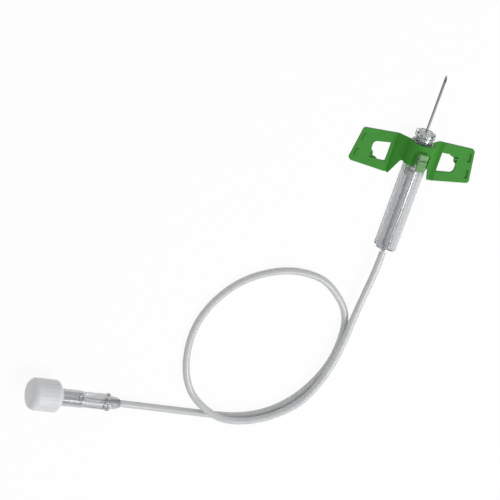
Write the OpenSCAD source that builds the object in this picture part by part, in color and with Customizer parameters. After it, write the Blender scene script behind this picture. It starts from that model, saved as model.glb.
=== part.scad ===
// Winged infusion needle with a safety sheath: a steel cannula, folding wings,
// a clear sheath that the needle draws back into, a loop of tube and a capped connector.
// It lies on its sheath. The needle points along +Y, the wings spread along X.
// Lengths along the needle are taken from the front face of the sheath's crown.

/* [Needle] */
// Outside diameter of the cannula
needle_d = 0.8; // [0.5:0.05:1.2]
// Bore of the cannula
needle_bore = 0.5; // [0.2:0.05:0.7]
// Length of cannula that stands out of the crown
needle_show = 19; // [12:0.5:25]
// Length of cannula held in the hub
needle_in_hub = 6; // [4:0.5:7]
// Size over the corners of its crimped end, which the adhesive grips
crimp_d = 0.76; // [0.6:0.02:1.2]
// Angle of the main grind at the tip
bevel_angle = 18; // [12:1:30]
// How far the two side grinds at the tip are turned about the axis
lancet_turn = 28; // [15:1:40]
// How much steeper the side grinds are than the main one
lancet_extra = 6; // [3:1:10]

/* [Sheath] */
// Length of the clear sheath with its crown
sheath_len = 38.9; // [36:0.1:45]
// Outside diameter over the sheath's lobes
sheath_d = 7; // [6.6:0.1:8]
// Diameter of the sheath's bore
bore_d = 4.8; // [4.4:0.1:5]
// Radius of each long flute between the lobes
flute_r = 1.6; // [1.2:0.1:2.2]
// Depth of each flute
flute_depth = 0.5; // [0.2:0.05:0.6]
// Diameter of the round seat under the saddle
seat_d = 6.7; // [6.4:0.05:6.9]
// Width of the rim behind the saddle
rim_w = 1.2; // [0.8:0.1:2]
// How far the rim stands out past the lobes
rim_step = 0.15; // [0.1:0.05:0.3]
// Diameter of the crown's lobed head
crown_d = 6.2; // [5.8:0.1:6.6]
// Length of the crown's head
crown_head = 1.5; // [1:0.1:2]
// Diameter of the crown's neck
neck_d = 5.5; // [5.2:0.1:5.7]
// Width of the ring at the foot of the neck
foot_ring = 0.6; // [0.4:0.1:1]
// Diameter of that ring
foot_ring_d = 6; // [5.8:0.1:6.4]
// Number of notches round the crown's head
crown_notches = 8; // [4:1:10]
// Width of each notch
notch_w = 0.8; // [0.4:0.1:1]
// Depth of each notch
notch_depth = 0.4; // [0.2:0.05:0.5]
// Length of the head that is left whole behind the notches
notch_foot = 0.35; // [0.2:0.05:0.6]
// Thickness of the crown's front wall
front_wall = 1.2; // [0.8:0.1:1.6]
// Diameter of the opening in the front wall
mouth_d = 3.2; // [3:0.1:3.6]

/* [End plug] */
// Length of the plug inside the sheath
plug_len = 2; // [1.5:0.1:3]
// Diameter of the boss that the tube leaves by
boss_d = 3.1; // [2.9:0.1:4]
// Length of the boss behind the sheath
boss_len = 1.6; // [1:0.1:3]

/* [Hub] */
// Diameter of the hub's nose
nose_d = 2.6; // [2:0.1:2.8]
// Diameter of the hub's core
core_d = 3; // [2.8:0.1:3.2]
// Distance from the crown's face back to the hub's nose
nose_back = 0.3; // [0.2:0.1:0.6]
// Length of the hub, nose to tail
hub_len = 13.7; // [12:0.1:14]
// Thickness of each guide ring
guide_w = 1.6; // [1:0.1:2.5]
// Depth of the socket that holds the tube
socket_len = 5.8; // [4:0.1:6.5]
// Thickness of the spring arm
arm_t = 0.35; // [0.25:0.05:0.4]
// Width of the spring arm
arm_w = 1.2; // [0.8:0.1:1.4]
// Height of the catch on the arm
catch_h = 0.15; // [0.1:0.01:0.17]

/* [Saddle] */
// Length of the saddle along the sheath
saddle_len = 7.2; // [6.8:0.1:9]
// Wall of the saddle
saddle_wall = 0.8; // [0.6:0.05:1.2]
// Distance from the crown's face back to the saddle
saddle_back = 3.1; // [2.8:0.1:4]
// Depth of the arched recess round the button
recess_depth = 0.35; // [0.2:0.05:0.45]
// Width of the recess
recess_w = 5.2; // [4.4:0.1:5.6]
// Distance from the saddle's front to the recess
recess_back = 2.3; // [1.8:0.1:2.6]
// Radius of the recess's front corners
recess_r = 1.2; // [0.6:0.1:1.6]

/* [Release button] */
// Width of the button
button_w = 2.6; // [2:0.1:3]
// Length of the button's pad
button_len = 3.4; // [3:0.1:4]
// Height of the pad's top above the axis
button_top = 5.4; // [5:0.1:6]
// Thickness of the pad
button_t = 1.15; // [0.9:0.05:1.3]
// Length of the fixed block in front of the button
block_len = 1.3; // [1:0.1:1.8]
// Length of the thin web that the button bends on
web_len = 0.7; // [0.5:0.05:1]
// Thickness of that web
web_t = 0.35; // [0.2:0.05:0.5]
// Number of grip ribs on the pad
rib_count = 5; // [3:1:6]
// Height of each rib
rib_h = 0.2; // [0.1:0.05:0.3]
// Width of each rib
rib_w = 0.3; // [0.2:0.05:0.35]

/* [Wings] */
// Thickness of the wings
wing_t = 0.9; // [0.7:0.05:1.3]
// Distance from the axis to the crease
crease_x = 7; // [6.6:0.1:8]
// Gap along the crease between the two sides of the thin hinge
crease_gap = 0.2; // [0.1:0.02:0.3]
// Width of the groove along the crease
groove_w = 1.2; // [0.9:0.05:1.5]
// Thickness left under the groove
hinge_t = 0.4; // [0.3:0.05:0.5]
// Reach of a wing from the crease at its front edge
wing_front = 11.1; // [10:0.1:13]
// Reach of a wing from the crease at its rear edge
wing_rear = 12.8; // [11:0.1:14]
// Length of a wing along the crease
wing_len = 12.8; // [12:0.1:15]
// How far the rear edge runs forward towards the outer corner
rear_sweep = 1.6; // [0:0.1:2]
// How far the front edge runs back towards the outer corner
front_sweep = 0.3; // [0:0.1:1]
// Radius of the outer corners
corner_r = 0.9; // [0.3:0.1:1.5]
// Height of the short bars on the left wing
bar_h = 0.3; // [0.15:0.05:0.5]
// Depth of the short slots in the right wing
slot_depth = 0.45; // [0.2:0.05:0.6]
// Length of a bar
bar_len = 2.5; // [1.5:0.1:3]
// Width of a bar
bar_w = 0.6; // [0.4:0.05:0.9]
// Distance from a wing's outer edge in to its bars
bar_inset = 1.3; // [1:0.1:1.6]

/* [Window] */
// Distance from the crease to the window at its front edge
window_in = 0.9; // [0.8:0.05:1.5]
// How much further from the crease its rear edge starts
window_slant = 0.45; // [0:0.05:0.8]
// Distance from the wing's front edge back to the window
window_back = 3.2; // [2.8:0.1:4]
// Length of the window along the crease
window_len = 6.4; // [5.6:0.1:7]
// Reach of the window from the crease
window_reach = 6.9; // [6:0.1:7.5]

/* [Connector] */
// Outside diameter of the barrel at the cap
barrel_d = 5.3; // [5:0.1:6]
// Outside diameter of the ribbed body
body_d = 5; // [4.6:0.1:5.4]
// Length of connector that shows between tube and cap
connector_show = 19.8; // [17:0.1:24]
// Length of the ribbed body
body_len = 8; // [6:0.1:10]
// Length of the cone where the tube goes in
cone_len = 3.6; // [3:0.1:5]
// Diameter of the cone's small end
cone_d = 2.7; // [2.6:0.1:3.2]
// Length of the steep nose at the cone's small end
nose_len = 1.7; // [1:0.1:2.5]
// Diameter where the nose meets the rest of the cone
nose_top_d = 3.8; // [3.4:0.1:4]
// Width of the collar between cone and body
collar_w = 0.8; // [0.5:0.1:1.2]
// Diameter over the collar
collar_d = 5.5; // [5.2:0.1:6]
// Depth that the tube goes into the connector
tube_in = 5; // [3:0.1:6]
// Length of the luer socket's barrel inside the cap
luer_in_cap = 7; // [5:0.1:7.5]
// Diameter of the luer socket at its mouth
luer_mouth_d = 4.3; // [4.2:0.01:4.4]
// Diameter of the luer socket at its bottom
luer_root_d = 3.9; // [3.7:0.01:4]
// Depth of the luer socket
luer_depth = 7.5; // [7:0.1:9]
// Distance from the end of the ribbed body to the chamber behind the luer socket
chamber_back = 0.4; // [0.3:0.1:2]
// Diameter of the channel between the tube and the chamber
channel_d = 1.4; // [1:0.1:1.8]
// Width of each of the body's long ribs
rib_thick = 0.9; // [0.6:0.1:1.2]
// Depth of the spaces between those ribs
rib_depth = 0.4; // [0.2:0.05:0.6]

/* [Cap] */
// Outside diameter of the cap
cap_d = 10; // [9.6:0.1:11]
// Length of the cap
cap_len = 10.1; // [10:0.1:12]
// Bore of the cap
cap_bore = 8.2; // [8:0.1:8.4]
// Thickness of the cap's closed end
cap_end = 1.4; // [1:0.1:1.8]
// Radius of the closed end's edge
cap_round = 2.2; // [1:0.1:2.6]
// Length of the chamfer at the rim
rim_chamfer = 1.3; // [0.8:0.1:1.5]
// Diameter of the opening in the rim
rim_d = 6; // [5.8:0.1:6.4]
// Number of shallow grip flutes round the cap
cap_flutes = 24; // [12:2:30]
// Depth of each flute
cap_flute_depth = 0.15; // [0.1:0.05:0.2]
// Distance from the rim in to the tip of the cap's plug
plug_back = 2.2; // [1:0.1:3]
// Length of the straight opening in the rim
rim_lip = 0.5; // [0.3:0.1:0.8]

/* [Tube] */
// Outside diameter of the tube
tube_d = 2.2; // [2:0.05:2.4]

/* [Hidden] */
$fn = 64;
// Clearance between pieces that are glued or snapped together
seat_gap = 0.02;
// Clearance round the hub where it runs in the sheath
run_gap = 0.06;
// Clearance round the tube where it runs through the end plug
tube_gap = 0.2;
// Clearance round the button
button_gap = 0.2;
// Clearance round the cap's plug in the luer socket
plug_gap = 0.35;
// Clearance round the left wing's bars in the right wing's slots
bar_gap = 0.15;
// Clearance beside and behind the catch in the sheath's window
catch_side_gap = 0.15;
catch_end_gap = 0.4;
// Distance from the crown's front wall back to the hub's front ring
hub_gap = 0.3;
// Radius of the cap's grip flutes, and what is left plain at each end of them
cap_flute_r = 0.35;
flute_margin = 0.3;
// How far a cut runs past the face that it starts from
past = 1;
// How far one form of a moulding runs into the next
lap = 0.35;
// How far the saddle wraps round the sheath below the axis
wrap = 1;
// Radius of the small corners in the wings
small_r = 0.4;
sheath_r = sheath_d / 2;
bore_r = bore_d / 2;
needle_r = needle_d / 2;
seat_r = seat_d / 2;
saddle_r = seat_r + seat_gap + saddle_wall;
// A flute is an arc whose centre lies this far from the axis
flute_at = sheath_r - flute_depth + flute_r;
// The sheath lies on the two lobes beside its lowest flute
flute_cos = (flute_at * flute_at + sheath_r * sheath_r - flute_r * flute_r) / (2 * flute_at * sheath_r);
axis_z = sheath_r * flute_cos;
saddle_rear = saddle_back + saddle_len;
rim_back = saddle_rear + seat_gap;
tip_y = needle_show;
tail_y = -sheath_len - boss_len;
// The part's own frame starts under the middle of its length
mid_y = (tip_y + tail_y) / 2;
// The bead of adhesive stands this far out of the crown's face and round the needle
bead = 0.15;
// The cannula's crimped end has eight flats and stops just in front of the bead
crimp_sides = 8;
crimp_to = bead + 0.1;
crimp_r = min(crimp_d / 2, needle_r);
// Button: its foot stands this far clear of the bore and in from the pad's rear end
foot_gap = 0.6;
foot_in = 1.7;
hinge_back = saddle_back + recess_back + block_len;
pad_back = hinge_back + web_len;
pad_rear = pad_back + button_len;
web_z = axis_z + button_top - button_t / 2;
foot_len = 0.8;
foot_back = pad_rear - foot_in;
foot_reach = bore_r + foot_gap;
// Wings
plate_in = crease_x + crease_gap / 2;
panel_out = crease_x - crease_gap / 2;
// Inner panel: where it leaves the saddle, and how far behind the saddle its rear edge starts
panel_rise = 0.15;
panel_rear = 0.4;
panel_flank = 0.5;
panel_root_r = 1.2;
panel_tip = 0.4;
// Window: corners of its stepped side, each in from the outer side and back from the front edge
STEPS = [[3, 0], [2.65, 0.5], [1.55, 0.9], [1.1, 1.3], [1.1, 2.1], [0.6, 2.6], [0, 3.3]];
STEP_RADII = [0, 0, small_r / 2, small_r / 2, 0, 0, 0.6];
// Window: how far its unstepped edge runs in towards the outer side, and the radius there
window_sweep = 0.6;
window_r = 1.3;
window_front = -saddle_back - window_back;
window_rear = window_front - window_len;
window_out = crease_x + window_reach;
// Pockets beside the steps: place in from the outer side and back from the front, length, width
POCKETS = [[2.65, 1, 2.5, 0.55], [1.15, 2.2, 0.9, 0.8]];
// Places of the two bars along a wing's outer edge, from 0 at the front to 1 at the rear
BARS_AT = [0.27, 0.75];
// Route of the tube, from the socket in the hub, over its own loop, to the connector
socket_y = -nose_back - hub_len + socket_len;
lie = tube_d / 2;
over = lie + tube_d + 0.1;
// The connector leans on its collar and on the cap's rim
joint_yaw = 179;
joint_pitch = asin((cap_d - collar_d) / 2 / (connector_show + rim_chamfer - cone_len));
joint_z = collar_d / 2 * cos(joint_pitch) - cone_len * sin(joint_pitch);
joint_at = [-64.6, -107.5, joint_z];
ROUTE = [
    [0, socket_y, axis_z], [0, -20, axis_z], [0, -31, axis_z], [0, tail_y, axis_z],
    [-0.2, -48, over], [-0.9, -56, over], [-1.5, -64, over], [-1.9, -72, over],
    [-2.8, -80, over], [-5, -88.5, over], [-9, -96.3, over], [-15.5, -102, over],
    [-23, -105.5, over], [-31, -106.4, over], [-37.5, -104.4, 2.5], [-43.2, -100, 1.4],
    [-47, -93, lie], [-48.8, -84, lie], [-48.2, -75.5, lie], [-45, -67.5, lie],
    [-39.5, -60.5, lie], [-32, -55.7, lie], [-23.5, -53.5, lie], [-14.5, -54.7, lie],
    [-7.5, -59.7, lie], [-3.6, -65.3, lie], [-2.3, -72, lie], [-2.8, -80.5, lie],
    [-5.6, -88.7, lie], [-10.6, -96.5, lie], [-17.5, -102.3, lie], [-25.5, -105.5, lie],
    [-34, -106.6, lie], [-43, -107.1, lie], [-51, -107.4, 1.25], [-58.5, -107.5, 1.65]
];

// Unit vector along v
function unit(v) = v / norm(v);

// Arc that rounds the corner at p, between the neighbours a and b
function corner(a, p, b, r, n = 6) =
    let (
        u = unit(a - p),
        v = unit(b - p),
        half = acos(u * v) / 2,
        c = p + unit(u + v) * r / sin(half),
        s = p + u * r / tan(half) - c,
        e = p + v * r / tan(half) - c,
        start = atan2(s[1], s[0]),
        sweep = (atan2(e[1], e[0]) - start + 540) % 360 - 180
    )
    [for (i = [0:n]) c + r * [cos(start + sweep * i / n), sin(start + sweep * i / n)]];

// Outline with each corner rounded to its own radius, 0 for a sharp one
function rounded(points, radii) = [
    for (i = [0:len(points) - 1])
        each radii[i] > 0
            ? corner(points[(i + len(points) - 1) % len(points)], points[i],
                points[(i + 1) % len(points)], radii[i])
            : [points[i]]
];

// Point at t from 0 to 1 between the route's points i and i + 1
function spline(i, t) =
    let (
        last = len(ROUTE) - 1,
        a = ROUTE[max(i - 1, 0)],
        b = ROUTE[i],
        c = ROUTE[i + 1],
        d = ROUTE[min(i + 2, last)]
    )
    0.5 * (2 * b + (c - a) * t + (2 * a - 5 * b + 4 * c - d) * t * t + (3 * b - a - 3 * c + d) * t * t * t);

// Rod along the needle's axis, from y = from back to y = to
module rod(r, from, to, r2 = undef) {
    translate([0, from, axis_z])
        rotate([90, 0, 0])
            cylinder(r1 = r, r2 = r2 == undef ? r : r2, h = from - to);
}

// Outline in the plane across the axis, drawn out from y = from back to y = to
module along(from, to) {
    translate([0, from, axis_z])
        rotate([90, 0, 0])
            linear_extrude(from - to)
                children();
}

// Places a piece that was drawn from the crown's face in the part's own frame
module placed() {
    translate([0, -mid_y, 0])
        children();
}

// Everything above the surface that the needle lies on
module above_table() {
    translate([-50, -100, 0])
        cube([100, 200, 50]);
}

// Clear sheath: crown, neck, seat for the saddle, rim and fluted body
module sheath() {
    color([0.86, 0.88, 0.9, 0.5])
        placed()
            intersection() {
                difference() {
                    union() {
                        crown();
                        rod(neck_d / 2, -crown_head + lap, -saddle_back);
                        rod(foot_ring_d / 2, -saddle_back + foot_ring, -saddle_back);
                        rod(seat_r, -saddle_back, -rim_back);
                        rod(sheath_r + rim_step, -rim_back, -rim_back - rim_w);
                        along(-rim_back - rim_w, -sheath_len)
                            lobed_outline();
                    }
                    rod(bore_r, -front_wall, -sheath_len - past);
                    rod(mouth_d / 2, past, -front_wall - past);
                    catch_window();
                }
                above_table();
            }
}

// Head of the crown, notched round its edge
module crown() {
    difference() {
        rod(crown_d / 2, 0, -crown_head);
        for (i = [0:crown_notches - 1])
            translate([0, 0, axis_z])
                rotate([0, (i + 0.5) * 360 / crown_notches, 0])
                    translate([-notch_w / 2, -crown_head + notch_foot, crown_d / 2 - notch_depth])
                        cube([notch_w, crown_head, notch_depth + past]);
    }
}

// Section of the sheath's body: a circle with four shallow flutes
module lobed_outline() {
    difference() {
        circle(sheath_r);
        for (turn = [0:90:270])
            rotate(turn)
                translate([0, flute_at])
                    circle(flute_r);
    }
}

// Window in the top of the sheath, through which the button's foot reaches the catch
module catch_window() {
    translate([-arm_w / 2 - catch_side_gap, -foot_back - foot_len - catch_end_gap, axis_z])
        cube([arm_w + 2 * catch_side_gap, foot_len + 2 * catch_end_gap, sheath_r]);
}

// Plug in the rear of the sheath, with the boss that the tube leaves by
module end_plug() {
    color([0.84, 0.86, 0.88, 0.6])
        placed()
            difference() {
                union() {
                    rod(bore_r - seat_gap, -sheath_len + plug_len, -sheath_len);
                    rod(boss_d / 2, -sheath_len, tail_y);
                }
                rod(tube_d / 2 + tube_gap, -sheath_len + plug_len + past, tail_y - past);
            }
}

// Green moulding that holds the sheath: saddle, inner halves of the wings and button block
module wing_saddle() {
    color([0.27, 0.55, 0.22])
        placed()
            difference() {
                union() {
                    saddle_shell();
                    for (side = [-1, 1])
                        inner_panel(side);
                    button_block();
                }
                rod(seat_r + seat_gap, 0, -saddle_rear);
                rod(sheath_r + rim_step + button_gap, -saddle_rear, -saddle_rear - wing_len);
                button_slot();
            }
}

// Half ring over the sheath, open below, with an arched recess in its top
module saddle_shell() {
    difference() {
        rod(saddle_r, -saddle_back, -saddle_rear);
        translate([-sheath_d, -saddle_rear - past, axis_z - wrap - sheath_d])
            cube([2 * sheath_d, saddle_len + 2 * past, sheath_d]);
        difference() {
            translate([0, 0, axis_z])
                linear_extrude(sheath_d)
                    polygon(rounded([
                        [-recess_w / 2, -saddle_rear - past], [recess_w / 2, -saddle_rear - past],
                        [recess_w / 2, -saddle_back - recess_back],
                        [-recess_w / 2, -saddle_back - recess_back]
                    ], [0, 0, recess_r, recess_r]));
            rod(saddle_r - recess_depth, 0, -saddle_rear - 2 * past);
        }
    }
}

// Inner half of a wing, sloping from the saddle's side down to the crease
module inner_panel(side) {
    top_in = [saddle_r - lap, axis_z + panel_rise];
    top_out = [panel_out, wing_t];
    slope = unit(top_out - top_in);
    down = wing_t * [slope[1], -slope[0]];
    low_out = top_out + down;
    foot_x = low_out[0] - low_out[1] * slope[0] / slope[1];
    mirror([side < 0 ? 1 : 0, 0, 0])
        intersection() {
            translate([0, 0, -axis_z])
                along(-saddle_back, -saddle_back - wing_len - past)
                    polygon([
                        top_in, top_out, [panel_out, 0], [foot_x, 0], top_in + down,
                        [seat_r - lap, axis_z - lap]
                    ]);
            linear_extrude(2 * axis_z)
                polygon(rounded([
                    [0, -saddle_back], [panel_out, -saddle_back],
                    [panel_out, -saddle_back - wing_len], [panel_out - panel_tip, -saddle_back - wing_len],
                    [saddle_r + panel_flank, -saddle_rear - panel_rear],
                    [saddle_r, -saddle_rear], [0, -saddle_rear]
                ], [0, 0, 0, 0, panel_root_r, 0, 0]));
        }
}

// Fixed block in front of the button, where the button's web starts
module button_block() {
    translate([-button_w / 2, -hinge_back, axis_z + seat_r])
        cube([button_w, block_len, button_top - seat_r]);
}

// Slot in the saddle that the button works in
module button_slot() {
    translate([-button_w / 2 - button_gap, -saddle_rear - past, axis_z])
        cube([button_w + 2 * button_gap, saddle_rear + past - hinge_back - button_gap, button_top + past]);
}

// Button: ribbed pad on a thin web, with a foot over the hub's catch
module release_button() {
    color([0.45, 0.68, 0.4])
        placed() {
            translate([-button_w / 2, -pad_rear, axis_z + button_top - button_t])
                cube([button_w, button_len, button_t]);
            translate([-button_w / 2, -pad_back, web_z - web_t / 2])
                cube([button_w, web_len - button_gap, web_t]);
            for (i = [0:rib_count - 1])
                translate([-button_w / 2, -pad_back - (i + 0.5) * button_len / rib_count - rib_w / 2,
                    axis_z + button_top])
                    cube([button_w, rib_w, rib_h]);
            translate([-arm_w / 2, -foot_back - foot_len, axis_z + foot_reach])
                cube([arm_w, foot_len, button_top - button_t - foot_reach]);
        }
}

// Outline of a wing in plan, from the crease outwards
function wing_outline() = rounded([
    [plate_in, -saddle_back], [crease_x + wing_front, -saddle_back - front_sweep],
    [crease_x + wing_rear, -saddle_back - wing_len + rear_sweep],
    [plate_in, -saddle_back - wing_len]
], [0, corner_r, corner_r, small_r]);

// Outline of a window that is stepped in its front outer corner, with the distances from the
// crease at which its front and rear edges start
function window_outline(front_in, rear_in) = rounded(
    concat(
        [[crease_x + front_in, window_front]],
        [for (step = STEPS) [window_out - step[0], window_front - step[1]]],
        [[window_out, window_rear + window_sweep], [crease_x + rear_in, window_rear]]
    ),
    concat([small_r / 2], STEP_RADII, [window_r, small_r / 2])
);

// The two shallow pockets beside the window's steps, in the right wing's layout
module step_pockets() {
    for (pocket = POCKETS)
        translate([window_out - pocket[0], window_front - pocket[1], wing_t - slot_depth])
            cube([pocket[2], pocket[3], wing_t]);
}

// Place of the two short bars along a wing's outer edge
module at_bars() {
    lean = atan2(wing_rear - wing_front, wing_len - rear_sweep - front_sweep);
    for (back = BARS_AT)
        translate([
            crease_x + wing_front + (wing_rear - wing_front) * back - bar_inset,
            -saddle_back - front_sweep - (wing_len - rear_sweep - front_sweep) * back, 0
        ])
            rotate(lean)
                children();
}

// Swaps front and rear of the window's layout on the left wing, whose mirror image is then
// the right wing's layout turned half a turn
module turned(side) {
    mid = (window_front + window_rear) / 2;
    translate([0, mid, 0])
        mirror([0, side < 0 ? 1 : 0, 0])
            translate([0, -mid, 0])
                children();
}

// Outer half of a wing, lying flat, with its window and the groove along the crease
module wing_plate(side) {
    front_in = window_in + (side < 0 ? window_slant : 0);
    rear_in = window_in + (side < 0 ? 0 : window_slant);
    difference() {
        linear_extrude(wing_t)
            polygon(wing_outline());
        turned(side) {
            translate([0, 0, -past])
                linear_extrude(wing_t + 2 * past)
                    polygon(window_outline(front_in, rear_in));
            step_pockets();
        }
        translate([crease_x - past, -saddle_back - wing_len - past, hinge_t])
            cube([past + groove_w, wing_len + 2 * past, wing_t]);
    }
}

// Left wing, with two raised bars
module wing_left() {
    color([0.27, 0.58, 0.22])
        placed()
            mirror([1, 0, 0]) {
                wing_plate(-1);
                at_bars()
                    translate([-bar_w / 2, -bar_len / 2, wing_t / 2])
                        cube([bar_w, bar_len, wing_t / 2 + bar_h]);
            }
}

// Right wing, with two slots that the left wing's bars fit when the wings are folded together
module wing_right() {
    color([0.27, 0.58, 0.22])
        placed()
            difference() {
                wing_plate(1);
                at_bars()
                    translate([-bar_w / 2 - bar_gap, -bar_len / 2 - bar_gap, wing_t - slot_depth])
                        cube([bar_w + 2 * bar_gap, bar_len + 2 * bar_gap, wing_t]);
            }
}

// Hub: nose, core, two guide rings and the spring arm with its catch
module hub() {
    tail = -nose_back - hub_len;
    ring_front = -front_wall - hub_gap;
    color([0.8, 0.84, 0.82])
        placed()
            difference() {
                union() {
                    rod(nose_d / 2, -nose_back, ring_front);
                    rod(core_d / 2, ring_front, tail);
                    rod(bore_r - run_gap, ring_front, ring_front - guide_w);
                    rod(bore_r - run_gap, tail + guide_w, tail);
                    spring_arm(ring_front);
                }
                rod(crimp_r + seat_gap, past, -nose_back - needle_in_hub);
                rod(needle_bore / 2, 0, tail);
                rod(tube_d / 2 + seat_gap, socket_y, tail - past);
            }
}

// Arm that springs the catch up towards the sheath's window
module spring_arm(ring_front) {
    arm_top = bore_r - run_gap - catch_h;
    catch_back = foot_back + foot_len;
    translate([-arm_w / 2, -catch_back, axis_z + arm_top - arm_t])
        cube([arm_w, catch_back + ring_front, arm_t]);
    intersection() {
        translate([-arm_w / 2, -catch_back, axis_z + arm_top - arm_t])
            cube([arm_w, foot_len, arm_t + catch_h]);
        rod(bore_r - run_gap, 0, -catch_back - past);
    }
}

// Steel cannula with its bore, crimped end, main grind and two side grinds
module needle() {
    color([0.72, 0.73, 0.75])
        placed()
            difference() {
                union() {
                    rod(needle_r, tip_y, crimp_to);
                    rod(crimp_r, crimp_to + lap, -nose_back - needle_in_hub, $fn = crimp_sides);
                }
                rod(needle_bore / 2, tip_y + past, -nose_back - needle_in_hub - past);
                grind(0, bevel_angle);
                for (side = [-1, 1])
                    grind(side * lancet_turn, bevel_angle + lancet_extra);
            }
}

// Material above a slanted plane through the needle's tip, turned about the axis
module grind(turn, angle) {
    reach = 10 * needle_d;
    translate([0, tip_y, axis_z])
        rotate([0, turn, 0])
            translate([0, 0, -needle_r])
                rotate([-angle, 0, 0])
                    translate([-reach / 2, -reach, 0])
                        cube([reach, 2 * reach, reach / 2]);
}

// Bead of adhesive round the needle on the hub's nose
module adhesive() {
    color([0.9, 0.9, 0.86])
        placed()
            difference() {
                rod(needle_r + bead, bead, -nose_back, nose_d / 2 - bead);
                rod(crimp_r + seat_gap, bead + past, -nose_back - past);
            }
}

// Tube: one skin of eight sides swept along the route
module tube() {
    per_span = 2;
    spans = len(ROUTE) - 1;
    path = concat(
        [for (i = [0:spans - 1], s = [0:per_span - 1]) spline(i, s / per_span)],
        [ROUTE[spans]],
        [connector_point(0), connector_point(tube_in)]
    );
    last = len(path) - 1;
    sides = 8;
    skin = [for (i = [0:last])
        let (
            t = unit(path[min(i + 1, last)] - path[max(i - 1, 0)]),
            side = unit(cross([0, 0, 1], t)),
            up = cross(t, side)
        )
        for (k = [0:sides - 1])
            let (turn = 360 * (k + 0.5) / sides)
            path[i] + tube_d / 2 * (cos(turn) * side + sin(turn) * up)
    ];
    color([0.88, 0.9, 0.9, 0.7])
        placed()
            polyhedron(skin, concat(
                [[for (k = [0:sides - 1]) k]],
                [for (i = [0:last - 1], k = [0:sides - 1])
                    [i * sides + k, (i + 1) * sides + k, (i + 1) * sides + (k + 1) % sides,
                        i * sides + (k + 1) % sides]],
                [[for (k = [sides - 1:-1:0]) last * sides + k]]
            ));
}

// Direction from the tube's end into the connector
joint_along = [cos(joint_pitch) * cos(joint_yaw), cos(joint_pitch) * sin(joint_yaw), sin(joint_pitch)];

// Point on the connector's axis, at a distance from its small end
function connector_point(d) = joint_at + d * joint_along;

// Draws a piece of the connector along +Z, then lays it on the connector's axis
module on_connector() {
    placed()
        translate(joint_at)
            rotate([0, 0, joint_yaw])
                rotate([0, 90 - joint_pitch, 0])
                    children();
}

// Connector: cone with a steep nose, collar, ribbed body and a barrel with a luer socket
module connector() {
    body_from = cone_len + collar_w;
    barrel_from = body_from + body_len;
    chamber_from = barrel_from + chamber_back;
    mouth = connector_show + luer_in_cap;
    flare = (luer_mouth_d - luer_root_d) / luer_depth * past;
    color([0.86, 0.88, 0.9, 0.5])
        on_connector()
            difference() {
                union() {
                    cylinder(d1 = cone_d, d2 = nose_top_d, h = nose_len);
                    translate([0, 0, nose_len])
                        cylinder(d1 = nose_top_d, d2 = body_d - 2 * rib_depth, h = cone_len - nose_len);
                    translate([0, 0, cone_len])
                        cylinder(d = collar_d, h = collar_w);
                    translate([0, 0, body_from])
                        cylinder(d = body_d - 2 * rib_depth, h = body_len);
                    intersection() {
                        translate([0, 0, body_from])
                            cylinder(d = body_d, h = body_len);
                        for (turn = [0:45:135])
                            rotate(turn)
                                translate([-body_d, -rib_thick / 2, body_from])
                                    cube([2 * body_d, rib_thick, body_len]);
                    }
                    translate([0, 0, barrel_from])
                        cylinder(d = barrel_d, h = mouth - barrel_from);
                }
                translate([0, 0, -past])
                    cylinder(r = tube_d / 2 + seat_gap, h = tube_in + past);
                cylinder(d = channel_d, h = mouth + past);
                translate([0, 0, mouth - luer_depth])
                    cylinder(d1 = luer_root_d, d2 = luer_mouth_d + flare, h = luer_depth + past);
                translate([0, 0, chamber_from])
                    cylinder(d = luer_root_d, h = mouth - luer_depth - chamber_from + lap);
            }
}

// Cap: a cup with a rounded closed end, a chamfered rim and a plug for the luer socket
module cap() {
    flute_len = cap_len - cap_round - rim_chamfer - 2 * flute_margin;
    color([0.86, 0.87, 0.87])
        on_connector()
            translate([0, 0, connector_show])
                difference() {
                    rotate_extrude()
                        cap_section();
                    for (i = [0:cap_flutes - 1])
                        rotate(i * 360 / cap_flutes)
                            translate([cap_d / 2 + cap_flute_r - cap_flute_depth, 0,
                                rim_chamfer + flute_margin])
                                cylinder(r = cap_flute_r, h = flute_len);
                }
}

// Half section of the cap: outside, bore and the plug that stands in its middle
module cap_section() {
    end_in = cap_len - cap_end;
    polygon(concat(
        [[rim_d / 2, 0], [cap_d / 2 - rim_chamfer, 0], [cap_d / 2, rim_chamfer]],
        [for (a = [0:15:90])
            [cap_d / 2 - cap_round + cap_round * cos(a), cap_len - cap_round + cap_round * sin(a)]],
        [[0, cap_len], [0, plug_back], [luer_root_d / 2 - plug_gap, plug_back],
            [luer_mouth_d / 2 - plug_gap, end_in], [cap_bore / 2, end_in],
            [cap_bore / 2, rim_lip + (cap_bore - rim_d) / 2], [rim_d / 2, rim_lip]]
    ));
}

wing_saddle();
sheath();
end_plug();
release_button();
wing_left();
wing_right();
hub();
needle();
adhesive();
tube();
connector();
cap();
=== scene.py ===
"""Dresses the butterfly needle: a winged infusion needle in green polyethylene and clear plastic.

Lengths are in millimetres from the front face of the sheath's crown, on the needle's axis, and
finished meshes are in metres in the part's own frame. The needle points along +Y.
"""

import logging
import math
from collections.abc import Callable, Sequence
from dataclasses import dataclass, field
from enum import Enum

import bmesh
import bpy
from mathutils import Matrix, Vector


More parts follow.
